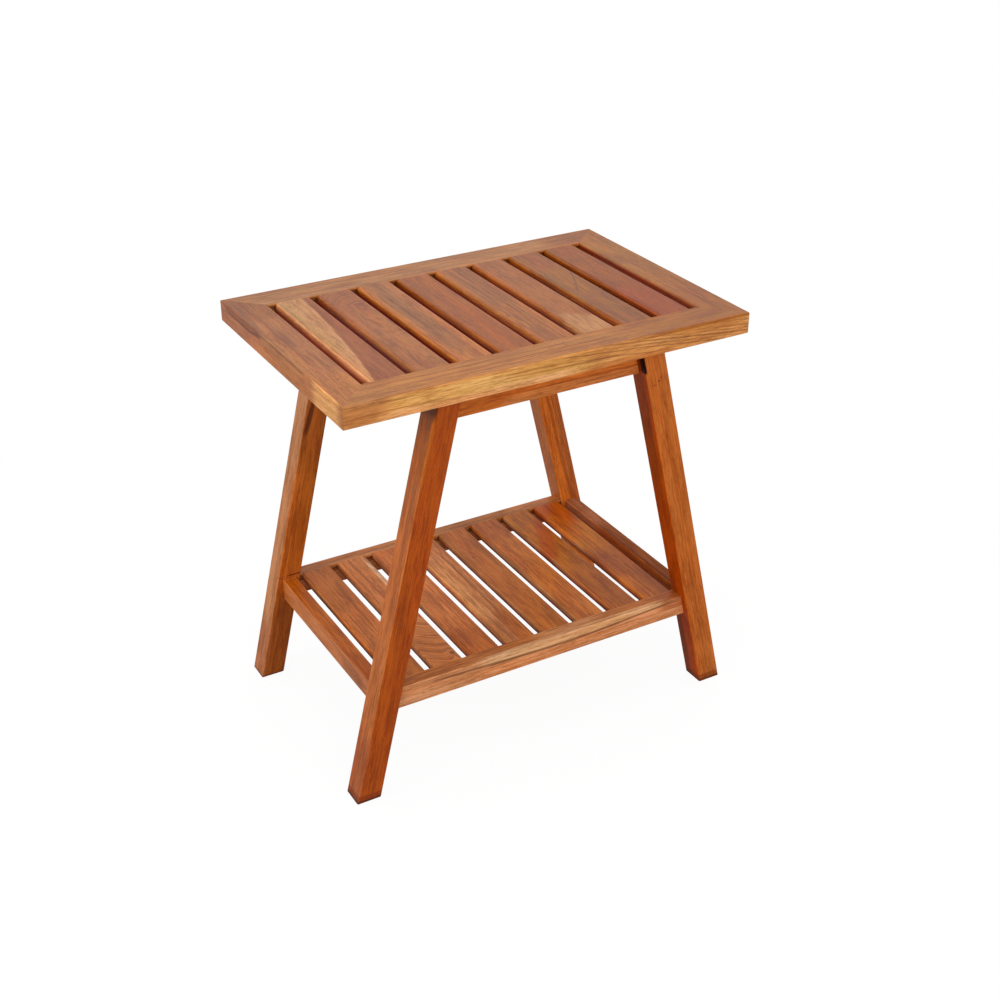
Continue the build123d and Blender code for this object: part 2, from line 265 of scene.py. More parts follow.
# Seat frame: the two long members
seatFrameLong = {
    "seat_frame_front": {
        "main": tone(190, 116, 39), "sides": {"front": tone(216, 143, 70)},
        "seed": 1.0, "pith": (-70.0, -34.0), "rise": 0.05, "ringGap": 2.6, "gloss": seatGloss, "bands": 0.45, "lines": 0.3,
        "marks": [
            {"across": (9, 24), "along": (-230, 10), "tone": tone(184, 112, 42), "strength": 0.7, "fade": 60},
            {"across": (6.5, 7.6), "along": (-190, 20), "tone": tone(140, 72, 14), "strength": 0.55, "wave": 3.0, "soft": 1.0},
            {"across": (-2.2, -1.0), "along": (-180, 60), "tone": tone(138, 70, 12), "strength": 0.55, "wave": 4.0, "soft": 1.2},
            {"across": (-9.5, -8.6), "along": (-150, 150), "tone": tone(146, 78, 16), "strength": 0.35, "wave": 4.0, "soft": 1.0},
            {"across": (-30, -17.6), "along": (-165, 25), "through": (-8, 9), "tone": tone(208, 146, 66), "strength": 0.75, "fade": 30, "soft": 1.0},
            {"across": (-30, -17.6), "along": (-240, -196), "tone": tone(208, 132, 60), "strength": 0.6, "fade": 25, "soft": 1.0},
            {"onEdge": True, "through": (-30, -17.6), "across": (-14, -5.0), "along": (-170, 0), "tone": tone(232, 162, 98), "strength": 0.85, "fade": 30, "soft": 1.5},
            {"onEdge": True, "through": (-30, -17.6), "across": (4.2, 5.0), "along": (-120, -10), "slope": -0.01, "tone": tone(150, 84, 26), "strength": 0.7, "fade": 15, "soft": 0.8, "wave": 5},
            {"onEdge": True, "through": (-30, -17.6), "across": (0.2, 1.0), "along": (-90, 60), "slope": -0.02, "tone": tone(150, 84, 26), "strength": 0.6, "fade": 25, "soft": 0.8, "wave": 5},
            {"onEdge": True, "through": (-30, -17.6), "across": (9.6, 10.2), "along": (20, 190), "slope": -0.1, "tone": tone(140, 76, 26), "strength": 0.6, "fade": 25, "soft": 0.6, "wave": 5, "fuzz": 3},
            {"onEdge": True, "through": (-30, -17.6), "across": (16, 16.8), "along": (60, 225), "slope": -0.1, "tone": tone(140, 76, 26), "strength": 0.7, "fade": 25, "soft": 0.6, "wave": 5, "fuzz": 3},
            {"onEdge": True, "through": (-30, -17.6), "across": (22.5, 23.2), "along": (120, 230), "slope": -0.1, "tone": tone(140, 76, 26), "strength": 0.6, "fade": 25, "soft": 0.6, "wave": 5, "fuzz": 3},
            {"onEdge": True, "through": (-30, -17.6), "across": (4.5, 5.0), "along": (0, 140), "slope": -0.1, "tone": tone(140, 76, 26), "strength": 0.5, "fade": 25, "soft": 0.6, "wave": 5, "fuzz": 3},
            {"onEdge": True, "through": (-30, -17.6), "across": (28, 28.8), "along": (170, 230), "slope": -0.1, "tone": tone(140, 76, 26), "strength": 0.6, "fade": 25, "soft": 0.6, "wave": 5, "fuzz": 3},
            {"onEdge": True, "through": (-30, -17.6), "across": (13, 13.5), "along": (60, 200), "slope": -0.1, "tone": tone(140, 76, 26), "strength": 0.45, "fade": 25, "soft": 0.6, "wave": 5, "fuzz": 3},
            {"onEdge": True, "through": (-30, -17.6), "across": (19.4, 19.9), "along": (100, 225), "slope": -0.1, "tone": tone(140, 76, 26), "strength": 0.45, "fade": 25, "soft": 0.6, "wave": 5, "fuzz": 3},
            {"onEdge": True, "through": (-30, -17.6), "across": (-14, -6.5), "along": (45, 120), "tone": tone(176, 90, 12), "strength": 0.6, "fade": 25, "soft": 1.5, "fuzz": 4},
            {"onEdge": True, "through": (-30, -17.6), "across": (-4.5, 20), "along": (-240, -196), "tone": tone(172, 106, 50), "strength": 0.7, "fade": 22, "soft": 1.5, "fuzz": 4},
            {"onEdge": True, "through": (-30, -17.6), "across": (-3, 7), "along": (-155, -70), "tone": tone(236, 174, 94), "strength": 0.6, "fade": 35, "soft": 3, "fuzz": 8},
            {"onEdge": True, "through": (-30, -17.6), "across": (-2.0, -1.4), "along": (-210, -130), "tone": tone(150, 80, 24), "strength": 0.6, "fade": 12, "soft": 0.8, "wave": 4},
            {"onEdge": True, "through": (-30, -17.6), "across": (3, 14), "along": (150, 205), "tone": tone(194, 114, 36), "strength": 0.6, "fade": 20},
            {"through": (9, 20), "along": (130, 240), "tone": tone(164, 90, 0), "strength": 0.85, "fade": 70},
            {"through": (9, 20), "across": (-6, 6), "along": (-200, -150), "tone": tone(202, 126, 46), "strength": 0.7, "fade": 20, "soft": 3},
        ],
        },
    "seat_frame_back": {
        "main": tone(182, 114, 54), "seed": 2.0, "pith": (80.0, -40.0), "rise": 0.015, "gloss": seatGloss,
        "marks": [
            {"across": (-14, -2), "along": (-200, -70), "tone": tone(184, 122, 66), "strength": 0.6, "fade": 40},
            {"across": (5, 6.5), "along": (-205, -70), "tone": tone(138, 84, 36), "strength": 0.5, "wave": 4.0, "soft": 1.2},
            # painted shade: the inner face toward the slats darkened where it shows down the gaps
            {"across": (-30, -18.2), "through": (-20, 9), "tone": tone(120, 46, 6), "strength": 0.95, "soft": 0.6, "fuzz": 0},
            {"through": (9, 20), "along": (170, 240), "tone": tone(160, 84, 0), "strength": 0.8, "fade": 30},
        ]},
}
for name, look in seatFrameLong.items():
    place(name, look, alongX, alongY, alongZ)

# Seat frame: the two end members
seatFrameShort = {
    "seat_frame_left": {
        "main": tone(175, 104, 49), "sides": {"left": tone(202, 115, 61)},
        "seed": 3.0, "pith": (-60.0, -35.0), "rise": 0.05, "gloss": seatGloss, "bands": 0.35, "fibres": 1.0,
        "marks": [
            {"through": (9, 20), "along": (-160, -94), "tone": tone(196, 118, 44), "strength": 0.8, "fade": 25},
            {"through": (9, 20), "along": (88, 160), "tone": tone(155, 85, 26), "strength": 0.85, "fade": 25},
            {"onEdge": True, "through": (-30, -17.6), "across": (-14, 5), "along": (80, 160), "tone": tone(184, 108, 58), "strength": 0.8, "fade": 20},
            {"across": (-24, -9), "along": (-160, 20), "slope": -0.02, "tone": tone(186, 112, 40), "strength": 0.7, "fade": 60},
            {"across": (-24, -13.5), "along": (66, 130), "through": (9, 20), "tone": tone(140, 82, 40), "strength": 0.6, "fade": 22, "soft": 3, "fuzz": 8},
            {"onEdge": True, "through": (-30, -17.6), "across": (5.5, 20), "along": (50, 128), "tone": tone(140, 70, 4), "strength": 0.8, "fade": 16, "soft": 1.2},
            {"onEdge": True, "through": (-30, -17.6), "across": (4.2, 5.4), "along": (70, 126), "tone": tone(104, 40, 0), "strength": 0.75, "fade": 14, "soft": 0.9, "wave": 3},
            {"onEdge": True, "through": (-30, -17.6), "across": (17.4, 18.6), "slope": -0.19, "along": (42, 68), "tone": tone(104, 40, 0), "strength": 0.7, "fade": 6, "soft": 0.9},
            {"across": (-24, -18.0), "through": (10.2, 20), "along": (-60, 34), "tone": tone(112, 56, 22), "strength": 0.65, "fade": 12, "soft": 0.6, "fuzz": 1},
            {"across": (-24, -17.0), "along": (26, 40), "through": (7, 20), "tone": tone(192, 122, 62), "strength": 0.5, "fade": 10, "soft": 1.6, "fuzz": 5},
            {"across": (-5.5, -4.0), "along": (-40, 130), "slope": 0.015, "tone": tone(132, 68, 20), "strength": 0.45, "wave": 5, "soft": 1.4},
            {"onEdge": True, "through": (-30, -17.6), "across": (-14, 20), "slope": 0.06, "along": (-134, -96), "tone": tone(244, 176, 98), "strength": 0.85, "fade": 18, "soft": 2.5, "fuzz": 8, "ragged": 20},
        ],
        "knots": [{"at": (-92, 4), "size": 3.0, "tone": tone(130, 66, 26), "strength": 0.5, "through": (8, 20)},
                  {"at": (-92, 13), "size": 2.2, "tone": tone(130, 66, 26), "strength": 0.45, "through": (8, 20)}]},
    "seat_frame_right": {
        "main": tone(174, 101, 6), "sides": {"left": tone(149, 54, 0)}, "seed": 4.0, "pith": (70.0, -40.0), "rise": 0.03, "gloss": seatGloss,
        "marks": [{"across": (-24, 24), "through": (9, 20), "along": (-160, -80), "tone": tone(152, 78, 6), "strength": 0.6, "fade": 60}]},
}
for name, look in seatFrameShort.items():
    place(name, look, alongY, alongX, alongZ)

# Seat slats, from the left end to the right end
seatSlats = {
    "seat_slat_1": {
        "gapShade": 0.8, "gapDepth": (3.3, 9.2), "fibres": 0.9, "main": tone(162, 83, 28), "seed": 5.0, "pith": (55.0, -40.0),
        "marks": [
            {"across": (-40, 0), "slope": 0.11, "curve": -0.00025, "tone": tone(200, 133, 74), "strength": 1.0, "soft": 1.6, "fuzz": 4, "wave": 3},
            {"across": (-3.5, 0), "slope": 0.11, "curve": -0.00025, "tone": tone(212, 142, 84), "strength": 0.6, "soft": 2, "fuzz": 4, "wave": 5, "along": (-60, 60), "fade": 50},
            {"across": (-24, -12), "along": (-10, 130), "tone": tone(200, 140, 66), "strength": 0.6, "fade": 40, "soft": 4},
            {"across": (-40, 7), "along": (84, 130), "tone": tone(216, 152, 90), "strength": 0.7, "fade": 30},
            {"across": (-24, -17.8), "tone": tone(235, 160, 101), "strength": 1.0, "soft": 0.6, "fuzz": 0},
            {"across": (3.5, 5.5), "slope": 0.11, "curve": -0.00025, "tone": tone(140, 68, 14), "strength": 0.5, "soft": 2, "wave": 5, "fuzz": 4, "along": (-100, 60), "fade": 30},
        ]},
    "seat_slat_2": {
        "main": tone(174, 99, 39), "seed": 6.0, "pith": (9.0, -14.0), "ringGap": 6.0,
        "bend": {"at": 70, "side": 1, "rise": 0.5}, "bands": 0.22, "lines": 0.18, "wander": 3.0, "gapShade": 0.85,
        "marks": [{"across": (-24, 24), "along": (60, 140), "tone": tone(158, 84, 28), "strength": 0.6, "fade": 40}]},
    "seat_slat_3": {
        "main": tone(201, 118, 43), "seed": 7.0, "pith": (40.0, -34.0), "fibres": 1.1,
        "marks": [
            {"across": (-11, 6), "along": (-70, 130), "tone": tone(152, 88, 36), "strength": 0.75, "fade": 40, "soft": 4, "fuzz": 8},
            {"across": (-5, -3.2), "along": (-40, 60), "tone": tone(128, 72, 26), "strength": 0.5, "soft": 1.4, "wave": 4, "fade": 30},
            {"across": (8, 9.4), "along": (-110, 100), "tone": tone(138, 74, 22), "strength": 0.4, "soft": 1.2, "wave": 4, "fade": 30},
            {"across": (-24, -13), "tone": tone(182, 98, 20), "strength": 0.6, "soft": 3},
            {"across": (8, 24), "along": (10, 130), "tone": tone(178, 104, 48), "strength": 0.85, "soft": 3, "fade": 30},
        ],
        "knots": [{"at": (-10, -4), "size": 2.0, "tone": tone(110, 64, 34), "strength": 0.55, "long": 2.2},
                  {"at": (-88, -4), "size": 2.2, "tone": tone(116, 60, 26), "strength": 0.5, "long": 1.6}]},
    "seat_slat_4": {"main": tone(165, 83, 0), "seed": 8.0, "pith": (20.0, -60.0), "fibres": 1.3, "bands": 0.4},
    "seat_slat_5": {
        "main": tone(186, 104, 28), "seed": 9.0, "pith": (30.0, -34.0), "fibres": 1.4, "ringGap": 3.4, "lines": 0.38,
        "marks": [
            {"across": (-24, -13), "along": (0, 130), "tone": tone(182, 98, 16), "strength": 0.75, "soft": 2.5, "fade": 30},
            {"across": (-9, 14), "along": (20, 130), "tone": tone(148, 84, 34), "strength": 0.6, "soft": 5, "fade": 50, "fuzz": 8},
            {"across": (1.2, 2.4), "along": (-20, 120), "tone": tone(118, 64, 24), "strength": 0.5, "soft": 1.0, "wave": 5, "fade": 30},
            {"across": (6.5, 7.6), "along": (-110, 110), "tone": tone(122, 66, 24), "strength": 0.4, "soft": 1.0, "wave": 5, "fade": 30},
            {"across": (-7.0, -6.0), "along": (-120, 90), "tone": tone(126, 66, 22), "strength": 0.35, "soft": 1.0, "wave": 5, "fade": 30},
            {"across": (11.5, 12.5), "along": (-90, 60), "tone": tone(126, 66, 22), "strength": 0.4, "soft": 1.0, "wave": 5, "fade": 40},
        ],
        "knots": [{"at": (-36, -13), "size": 2.4, "tone": tone(116, 56, 26), "strength": 0.7, "long": 1.7}]},
    "seat_slat_6": {
        "main": tone(172, 94, 27), "seed": 10.0, "pith": (44.0, -50.0), "fibres": 1.0, "bands": 0.4,
        "marks": [
            {"across": (-60, 60), "along": (-160, -84), "ragged": 26, "fade": 14, "tone": tone(200, 134, 74), "strength": 0.9},
            {"across": (-24, -11), "along": (-160, -70), "slope": -0.16, "fade": 20, "tone": tone(200, 132, 70), "strength": 0.75, "soft": 3.5},
            {"across": (0, 6), "along": (-160, -76), "fade": 16, "tone": tone(200, 132, 70), "strength": 0.6, "soft": 3.5},
        ]},
    "seat_slat_7": {
        "main": tone(160, 91, 0), "sides": {"left": tone(171, 88, 0)}, "seed": 11.0, "pith": (34.0, -44.0), "fibres": 1.3, "bands": 0.5,
        "marks": [
            {"across": (-24, 0), "along": (66, 140), "slope": 0.12, "tone": tone(164, 80, 12), "strength": 0.75, "fade": 20, "soft": 5},
            {"across": (-14, 24), "along": (-140, -34), "tone": tone(145, 78, 16), "strength": 0.7, "fade": 25, "soft": 4},
            {"across": (-2.0, -0.9), "slope": 0.42, "along": (-6, 44), "tone": tone(104, 62, 34), "strength": 0.7, "fade": 14, "soft": 1.0, "wave": 12, "fuzz": 6},
            {"across": (-24, -16), "along": (-140, -96), "slope": -0.2, "tone": tone(168, 86, 14), "strength": 0.6, "fade": 16},
        ]},
    "seat_slat_8": {
        "main": tone(160, 80, 0), "seed": 12.0, "pith": (30.0, -60.0), "fibres": 1.3, "bands": 0.45, "gloss": 0.34,
        "marks": [{"across": (-24, 24), "along": (-140, -50), "tone": tone(158, 64, 6), "strength": 0.7, "fade": 50}],
        "knots": [{"at": (-108, 8), "size": 2.2, "tone": tone(96, 44, 20), "strength": 0.6}]},
}
for name, look in seatSlats.items():
    place(name, {"gloss": seatGloss, "gapShade": 1.0, **look}, alongY, alongX, alongZ)
print("seat finished")

# Legs: the grain follows the lean
legs = {
    "leg_front_left": {
        "main": tone(169, 73, 8), "sides": {"left": tone(197, 109, 48)}, "seed": 13.0, "gloss": legGloss, "pith": (24.0, 40.0), "fibres": 0.8, "bands": 0.35, "lines": 0.2,
        "marks": [
            # painted shadow: the top of the left face darkened where the seat overhang shades it
            {"across": (-30, -11.5), "through": (-9, 20), "along": (196, 240), "tone": tone(84, 44, 24), "strength": 0.85, "fade": 24, "soft": 1.0},
            {"onEdge": True, "across": (-6, -1), "through": (-30, -11.5), "along": (90, 240), "tone": tone(116, 60, 26), "strength": 0.4, "fade": 90, "soft": 2.5},
            {"across": (1.4, 2.2), "through": (-20, 0), "along": (-200, 120), "tone": tone(132, 50, 6), "strength": 0.4, "wave": 8, "soft": 1.2, "fade": 60},
            {"across": (-30, -11.5), "along": (-240, -165), "tone": tone(172, 86, 40), "strength": 0.8, "fade": 30},
            {"across": (-30, -11.5), "along": (150, 204), "tone": tone(176, 88, 14), "strength": 0.7, "fade": 25},
            # painted shadow: the top of the left face darkened further, almost black, just under the seat
            {"across": (-30, -11.5), "along": (212, 240), "tone": tone(60, 14, 0), "strength": 0.8, "fade": 14},
            {"along": (-260, -214.5), "skew": 0.237, "tone": tone(118, 44, 12), "strength": 0.6, "fade": 2.5, "ragged": 3},
            {"along": (-260, -220.4), "skew": 0.237, "tone": tone(84, 34, 12), "strength": 0.8, "fade": 2.5, "fuzz": 0, "ragged": 3},
        ]},
    "leg_front_right": {
        "main": tone(190, 101, 38), "sides": {"left": tone(186, 74, 0)}, "seed": 14.0, "gloss": 0.08, "pith": (-30.0, 36.0), "fibres": 0.75, "bands": 0.3, "lines": 0.15,
        "marks": [
            {"across": (-0.2, 0.6), "along": (-190, 210), "through": (-20, 4), "tone": tone(150, 70, 20), "strength": 0.4, "wave": 6, "soft": 1.6, "fade": 40},
            # painted shadow: the left face beside the apron darkened nearly to black, where it is recessed under the
            # seat
            {"across": (-30, -11.5), "through": (-20, 3), "along": (205, 240), "tone": tone(36, 2, 0), "strength": 1.0, "fade": 4, "soft": 1.0},
            {"across": (-30, -11.5), "through": (-6, 20), "along": (90, 202), "tone": tone(150, 64, 6), "strength": 0.8, "fade": 70, "soft": 1.0},
            {"across": (-30, -11.5), "along": (-240, -120), "tone": tone(196, 76, 0), "strength": 0.5, "fade": 20, "soft": 1.0},
            {"across": (-30, -11.5), "through": (2, 20), "along": (-240, -80), "tone": tone(124, 48, 0), "strength": 0.7, "fade": 40, "soft": 1.0},
            {"along": (-260, -213.5), "skew": -0.237, "tone": tone(124, 50, 14), "strength": 0.6, "fade": 2.5, "ragged": 4},
            {"along": (-260, -219.5), "skew": -0.237, "tone": tone(96, 40, 14), "strength": 0.75, "fade": 2.0, "fuzz": 0, "ragged": 3},
            {"across": (3.6, 4.4), "along": (-150, 60), "through": (-20, 4), "tone": tone(142, 64, 14), "strength": 0.3, "wave": 8, "soft": 1.2, "fade": 60},
        ],
        "knots": [{"at": (189, 1.0), "size": 1.8, "tone": tone(122, 44, 8), "strength": 0.9, "through": (-20, -4), "long": 1.0},
                  {"at": (191.5, 3.5), "size": 1.5, "tone": tone(146, 54, 10), "strength": 0.8, "through": (-20, -4), "long": 1.4},
                  {"at": (186, -4.5), "size": 3.2, "tone": tone(150, 60, 14), "strength": 0.65, "through": (-20, -4), "long": 0.5}]},
    "leg_back_left": {
        "main": tone(172, 88, 22), "sides": {"left": tone(203, 132, 80)}, "seed": 15.0, "gloss": legGloss, "pith": (30.0, 30.0), "fibres": 1.1,
        "marks": [
            # painted shadow: a thin dark line across the front face where the side shelf rail's top meets the leg
            {"across": (-12.5, 30), "through": (-20, -11.5), "along": (-92.6, -91.6), "skew": 0.237, "tone": tone(78, 24, 4), "strength": 0.8, "fade": 0.8, "fuzz": 0, "soft": 3},
            {"across": (-18.6, -15), "through": (-20, -2), "along": (90, 150), "slope": 0.09, "tone": tone(92, 38, 6), "strength": 0.85, "fade": 22, "soft": 1.6},
            {"across": (-30, 30), "through": (-20, -11), "along": (-240, -150), "tone": tone(138, 68, 18), "strength": 0.5, "fade": 30},
            {"across": (-16, -4), "through": (-20, -11), "along": (-90, 20), "tone": tone(204, 106, 34), "strength": 0.7, "fade": 30, "soft": 4},
            {"across": (-30, -11.5), "along": (-240, -170), "tone": tone(182, 106, 60), "strength": 0.8, "fade": 25},
            {"along": (-260, -221.2), "skew": 0.237, "tone": tone(84, 38, 14), "strength": 0.7, "fade": 1.5, "fuzz": 0, "ragged": 3},
        ]},
    "leg_back_right": {
        "main": tone(217, 114, 33), "sides": {"left": tone(193, 109, 46)}, "seed": 16.0, "gloss": legGloss, "pith": (-30.0, 30.0), "fibres": 0.9, "bands": 0.35, "lines": 0.2,
        "marks": [
            {"across": (-1.0, 1.0), "through": (-20, 0), "along": (-120, 120), "tone": tone(134, 58, 14), "strength": 0.5, "wave": 8, "soft": 2.0, "fade": 40},
            {"across": (5, 30), "through": (-20, -11.5), "along": (-110, 80), "tone": tone(182, 94, 38), "strength": 0.8, "soft": 3, "fade": 30},
            {"along": (-260, -221.2), "skew": -0.237, "tone": tone(84, 38, 14), "strength": 0.7, "fade": 1.5, "fuzz": 0, "ragged": 3},
        ]},
}
lean = math.radians(13.35)
for name, look in legs.items():
    side = -1 if name.endswith("left") else 1
    along = (-side * math.sin(lean), 0, math.cos(lean))
    across = (math.cos(lean), 0, side * math.sin(lean))
    place(name, look, along, across, alongY, (222.0, 13.25, 13.25))
print("legs finished")

# Aprons and shelf rails
longRails = {
    "apron_front": {
        "main": tone(211, 112, 36), "seed": 17.0, "gloss": legGloss, "fibres": 1.6,
        "marks": [
            {"across": (-3.2, -1.6), "along": (-20, 110), "tone": tone(146, 66, 16), "strength": 0.5, "wave": 5, "soft": 1.4, "fade": 30},
            {"along": (-200, -56), "tone": tone(182, 90, 20), "strength": 0.8, "fade": 20},
            {"across": (-20, -5), "along": (-40, 130), "tone": tone(192, 112, 53), "strength": 0.9, "fade": 20, "soft": 2.5},
        ]},
    "apron_back": {"main": tone(182, 90, 20), "seed": 18.0, "gloss": legGloss},
    "shelf_rail_front": {
        "main": tone(189, 107, 38), "sides": {"front": tone(216, 142, 90)}, "seed": 19.0, "gloss": shelfGloss,
        "marks": [
            {"across": (3.5, 20), "curve": 0.00022, "along": (-56, 140), "through": (-20, -4), "tone": tone(222, 166, 110), "strength": 0.75, "fade": 40, "soft": 0.9, "fuzz": 1.5},
            {"across": (8, 20), "along": (10, 56), "tone": tone(214, 146, 90), "strength": 0.6, "fade": 30},
            {"across": (0, 20), "along": (156, 200), "tone": tone(170, 90, 40), "strength": 0.75, "fade": 15},
            {"across": (1.4, 3.0), "curve": 0.00022, "along": (-120, 150), "through": (-20, 0), "tone": tone(104, 58, 28), "strength": 0.7, "fade": 30, "soft": 1.0, "fuzz": 2.5, "wave": 8},
        ]},
    "shelf_rail_back": {
        "main": tone(202, 125, 65), "seed": 20.0, "gloss": shelfGloss,
        "marks": [
            # painted shade: the inner face toward the slats darkened where it shows in the gaps
            {"across": (-20, 9.5), "through": (-20, -7.2), "tone": tone(96, 34, 6), "strength": 0.3, "soft": 1.5, "fuzz": 1},
            {"along": (16, 96), "tone": tone(172, 103, 42), "strength": 0.8, "fade": 30},
        ]},
}
shortRails = {
    "apron_left": {"main": tone(178, 88, 24), "seed": 21.0, "gloss": legGloss},
    "apron_right": {"main": tone(178, 88, 24), "seed": 22.0, "gloss": legGloss},
    "shelf_rail_left": {
        "main": tone(206, 118, 57), "sides": {"top": tone(193, 99, 15)}, "seed": 23.0, "gloss": shelfGloss,
        "marks": [
            {"across": (-20, 6), "along": (-84, -50), "through": (-20, -6), "tone": tone(150, 84, 34), "strength": 0.6, "fade": 15},
            # painted highlight: a light strip along the top of the rail's back end, where it meets the leg
            {"across": (11, 20), "along": (114.6, 130), "tone": tone(206, 122, 60), "strength": 0.8, "fade": 1.0, "fuzz": 0},
            {"across": (11, 20), "along": (-140, -80), "tone": tone(160, 68, 4), "strength": 0.5, "fade": 30},
        ]},
    "shelf_rail_right": {
        "main": tone(154, 86, 45), "sides": {"left": tone(208, 103, 27)}, "seed": 24.0, "gloss": 0.1, "rough": 0.6,
        "marks": [
            {"onEdge": True, "through": (-20, 20), "across": (-20, -5), "tone": tone(104, 40, 6), "strength": 0.5, "soft": 3, "fuzz": 3},
            {"along": (60, 140), "tone": tone(186, 114, 72), "strength": 0.8, "fade": 30},
        ]},
}
for name, look in longRails.items():
    place(name, look, alongX, alongZ, alongY)
for name, look in shortRails.items():
    place(name, look, alongY, alongZ, alongX)

# Shelf slats, from the left end to the right end
shelfSlats = {
    "shelf_slat_1": {
        "main": tone(186, 100, 29), "seed": 25.0, "rise": 0.06,
        "marks": [{"through": (2, 20), "along": (-56, 10), "tone": tone(220, 122, 48), "strength": 0.8, "fade": 30}]},
    "shelf_slat_2": {
        "main": tone(219, 128, 59), "seed": 26.0, "pith": (24.0, -20.0), "ringGap": 8.5, "lines": 1.0,
        "bend": {"at": -30, "side": -1, "rise": 0.6}, "wander": 1.6, "bands": 0.3, "fibres": 1.0, "blotch": 0.8,
        "marks": [
            {"across": (11.5, 24), "along": (25, 90), "tone": tone(255, 202, 152), "strength": 0.85, "fade": 35, "soft": 1.6},
            {"across": (-24, 24), "along": (-140, -70), "tone": tone(186, 104, 40), "strength": 0.5, "fade": 30},
        ],
        "knots": [{"at": (-106, 12), "size": 3.6, "tone": tone(96, 44, 18), "strength": 0.7, "long": 1.2}]},
    "shelf_slat_3": {
        "main": tone(208, 112, 41), "seed": 27.0,
        "marks": [
            {"along": (-140, -86), "tone": tone(185, 94, 20), "strength": 0.85, "fade": 25},
            {"through": (2, 20), "across": (-6, 24), "along": (-30, 40), "tone": tone(224, 128, 56), "strength": 0.85, "fade": 30, "soft": 5},
        ]},
    "shelf_slat_4": {
        "main": tone(214, 131, 66), "seed": 28.0, "fibres": 1.7, "lines": 0.5,
        "marks": [
            {"across": (-6, 3), "along": (-130, 75), "tone": tone(213, 133, 76), "strength": 0.8, "fade": 30, "soft": 2},
            {"across": (5.4, 6.8), "along": (-120, 60), "tone": tone(124, 66, 30), "strength": 0.6, "soft": 1.2, "wave": 5, "fade": 30},
            {"across": (-9.6, -8.4), "along": (-120, 20), "tone": tone(136, 74, 34), "strength": 0.5, "soft": 1.2, "wave": 5, "fade": 30},
            {"across": (0, 24), "along": (-140, -70), "tone": tone(190, 102, 24), "strength": 0.85, "soft": 5, "fade": 30},
            {"across": (-24, 3), "along": (-44, 44), "tone": tone(234, 156, 86), "strength": 0.7, "soft": 4, "fade": 30},
        ]},
    "shelf_slat_5": {
        "main": tone(190, 105, 32), "seed": 29.0,
        "knots": [{"at": (53, -7), "size": 2.6, "tone": tone(120, 56, 24), "strength": 0.6, "long": 1.8}]},
    "shelf_slat_6": {
        "main": tone(206, 114, 37), "seed": 30.0,
        "marks": [{"along": (84, 140), "tone": tone(184, 96, 28), "strength": 0.85, "fade": 20}]},
    "shelf_slat_7": {
        "main": tone(189, 104, 10), "seed": 31.0,
        "marks": [
            {"across": (-27, -13), "along": (14, 82), "slope": 0.42, "tone": tone(178, 76, 0), "strength": 0.8, "fade": 20, "soft": 6, "ragged": 20, "fuzz": 8},
            {"across": (4, 24), "along": (-140, -70), "tone": tone(150, 78, 24), "strength": 0.6, "fade": 30, "soft": 4},
            {"across": (-24, 24), "along": (-140, -40), "tone": tone(170, 86, 24), "strength": 0.5, "fade": 40}]},
    "shelf_slat_8": {
        "main": tone(197, 110, 0), "seed": 32.0,
        "marks": [
            {"across": (-24, 24), "along": (84, 140), "tone": tone(192, 80, 4), "strength": 0.8, "fade": 45, "ragged": 70},
            {"across": (-8, -6.8), "along": (60, 110), "slope": -0.3, "tone": tone(120, 50, 12), "strength": 0.5, "fade": 15, "soft": 1.5, "wave": 6},
            {"across": (-24, 24), "along": (-140, -20), "tone": tone(168, 86, 26), "strength": 0.8, "fade": 35},
            {"across": (-24, -5), "along": (-140, -76), "tone": tone(206, 112, 30), "strength": 0.7, "fade": 20, "soft": 4},
            {"across": (6, 24), "along": (-140, -70), "tone": tone(150, 74, 18), "strength": 0.7, "fade": 20, "soft": 4},
            {"across": (-24, -4), "along": (40, 84), "tone": tone(216, 112, 4), "strength": 0.7, "fade": 20, "soft": 4},
        ]},
}
for name, look in shelfSlats.items():
    place(name, {"gloss": shelfGloss, "sides": {"left": tone(178, 115, 64)}, "gapShade": 0.9, "gapDepth": (3.5, 8.0), "blotch": 1.6, **look}, alongY, alongX, alongZ)
print("rails and shelf finished")

# Hidden fixings
dowelWood = {"main": tone(214, 178, 132), "seed": 33.0, "gloss": 0.3}
for name in nodes:
    if name.endswith("dowels"):
        place(name, dowelWood, alongX, alongY, alongZ)

screwSteel = {"colour": tone(190, 190, 186), "scuffed": tone(150, 148, 142), "rough": 0.32}
paint = Paint(bpy.data.materials.new("screwSteel"))
spot = paint.add("ShaderNodeTexCoord", None, None, "Object")
scuff = paint.add("ShaderNodeTexNoise", None, {"Vector": spot, "Scale": 900.0, "Detail": 3.0})
steel = paint.add("ShaderNodeBsdfPrincipled", None, {
    "Base Color": paint.mix(screwSteel["colour"], screwSteel["scuffed"], paint.step(scuff, 0.5, 0.75)),
    "Metallic": 1.0, "Roughness": scuff * 0.15 + screwSteel["rough"]})
nodes["seat_screws"].data.materials.clear()
nodes["seat_screws"].data.materials.append(paint.finish(steel))
print("fixings finished")

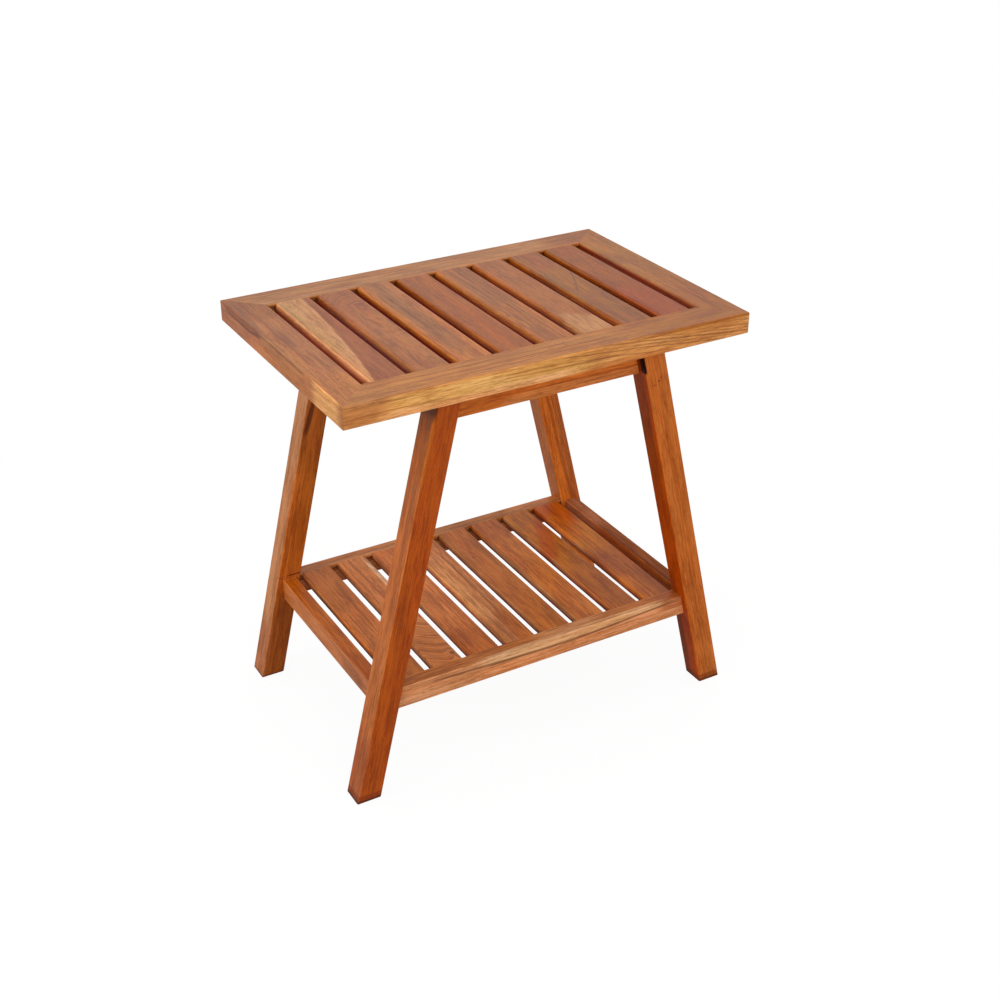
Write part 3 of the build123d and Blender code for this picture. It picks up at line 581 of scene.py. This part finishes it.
# Camera, matched to the photograph's viewing angle
cameraSpot = {"place": (-0.71270, -1.28214, 1.03752), "turn": -29.77, "tilt": 28.86, "roll": -0.10, "lens": 54.77}
turn, tilt, roll = (math.radians(cameraSpot[key]) for key in ("turn", "tilt", "roll"))
ahead = Vector((-math.sin(turn) * math.cos(tilt), math.cos(turn) * math.cos(tilt), -math.sin(tilt)))
right = Vector((math.cos(turn), math.sin(turn), 0))
up = right.cross(ahead)
rightRolled = math.cos(roll) * right + math.sin(roll) * up
upRolled = -math.sin(roll) * right + math.cos(roll) * up
camera = bpy.data.objects.new("camera", bpy.data.cameras.new("camera"))
bpy.context.scene.collection.objects.link(camera)
camera.matrix_world = Matrix((
    (rightRolled.x, upRolled.x, -ahead.x, cameraSpot["place"][0]),
    (rightRolled.y, upRolled.y, -ahead.y, cameraSpot["place"][1]),
    (rightRolled.z, upRolled.z, -ahead.z, cameraSpot["place"][2]),
    (0, 0, 0, 1),
))
camera.data.sensor_width = 36.0
camera.data.lens = cameraSpot["lens"]
camera.data.clip_start = 0.01
camera.data.clip_end = 100.0
bpy.context.scene.camera = camera

# Studio: white surround, large soft lamps from the front, the left and above
studio = {"surround": 0.60, "floor": tone(188, 188, 188), "floorLit": 0.36, "shadow": 0.2, "shadowReach": (0.35, 0.9),
          "mirrored": 0.85, "mirroredReach": (1.1, 2.4)}
lamps = {
    "lowLamp": {"place": (-0.3, -2.6, 1.1), "size": 1.6, "power": 23.0},
    "leftLamp": {"place": (-2.6, 0.2, 1.2), "size": 1.6, "power": 14.0},
    "keyLamp": {"place": (-1.3, -2.2, 2.2), "size": 1.8, "power": 7.5},
    "topLamp": {"place": (0.2, 0.3, 2.8), "size": 2.2, "power": 6.0},
}
aim = Vector((0, 0, 0.25))
for name, lamp in lamps.items():
    data = bpy.data.lights.new(name, "AREA")
    data.shape = "SQUARE"
    data.size = lamp["size"]
    data.energy = lamp["power"]
    made = bpy.data.objects.new(name, data)
    made.location = lamp["place"]
    made.rotation_mode = "QUATERNION"
    made.rotation_quaternion = (aim - Vector(lamp["place"])).to_track_quat("-Z", "Y")
    bpy.context.scene.collection.objects.link(made)


def ray(paint, kind):
    return paint.add("ShaderNodeLightPath", None, None, "Is " + kind + " Ray")


paint = Paint(bpy.data.worlds.new("surround"))
seen = ray(paint, "Camera").most(ray(paint, "Glossy")).most(ray(paint, "Transmission"))
strength = seen * (1 - studio["surround"]) + studio["surround"]
bpy.context.scene.world = paint.finish(
    paint.add("ShaderNodeBackground", None, {"Color": (1, 1, 1, 1), "Strength": strength}), "World")

floorMesh = bpy.data.meshes.new("floor")
reach = 12.0
floorMesh.from_pydata([(-reach, -reach, 0), (reach, -reach, 0), (reach, reach, 0), (-reach, reach, 0)], [], [(0, 1, 2, 3)])
floor = bpy.data.objects.new("floor", floorMesh)
bpy.context.scene.collection.objects.link(floor)
paint = Paint(bpy.data.materials.new("floorPaint"))
spot = paint.add("ShaderNodeTexCoord", None, None, "Object")
fromMiddle = paint.add("ShaderNodeVectorMath", {"operation": "LENGTH"}, {0: spot}, "Value")
kept = paint.step(fromMiddle, *reversed(studio["shadowReach"])) * studio["shadow"]  # real floor that is left, for the shadow
dimmed = paint.step(fromMiddle, *reversed(studio["mirroredReach"])) * studio["mirrored"]
plain = paint.add("ShaderNodeBsdfDiffuse", None, {"Color": studio["floor"]})
whiter = (1 - kept * studio["floorLit"]) / (1 - kept)
white = paint.add("ShaderNodeEmission", None, {"Color": paint.point(whiter, whiter, whiter), "Strength": 1.0})
share = ray(paint, "Camera").most(ray(paint, "Transmission")) * (1 - kept) \
    + ray(paint, "Glossy") * (1 - dimmed)
floorMesh.materials.append(paint.finish(paint.add("ShaderNodeMixShader", None, {0: share, 1: plain, 2: white})))
bpy.context.scene.view_settings.view_transform = "Standard"
print("studio finished")
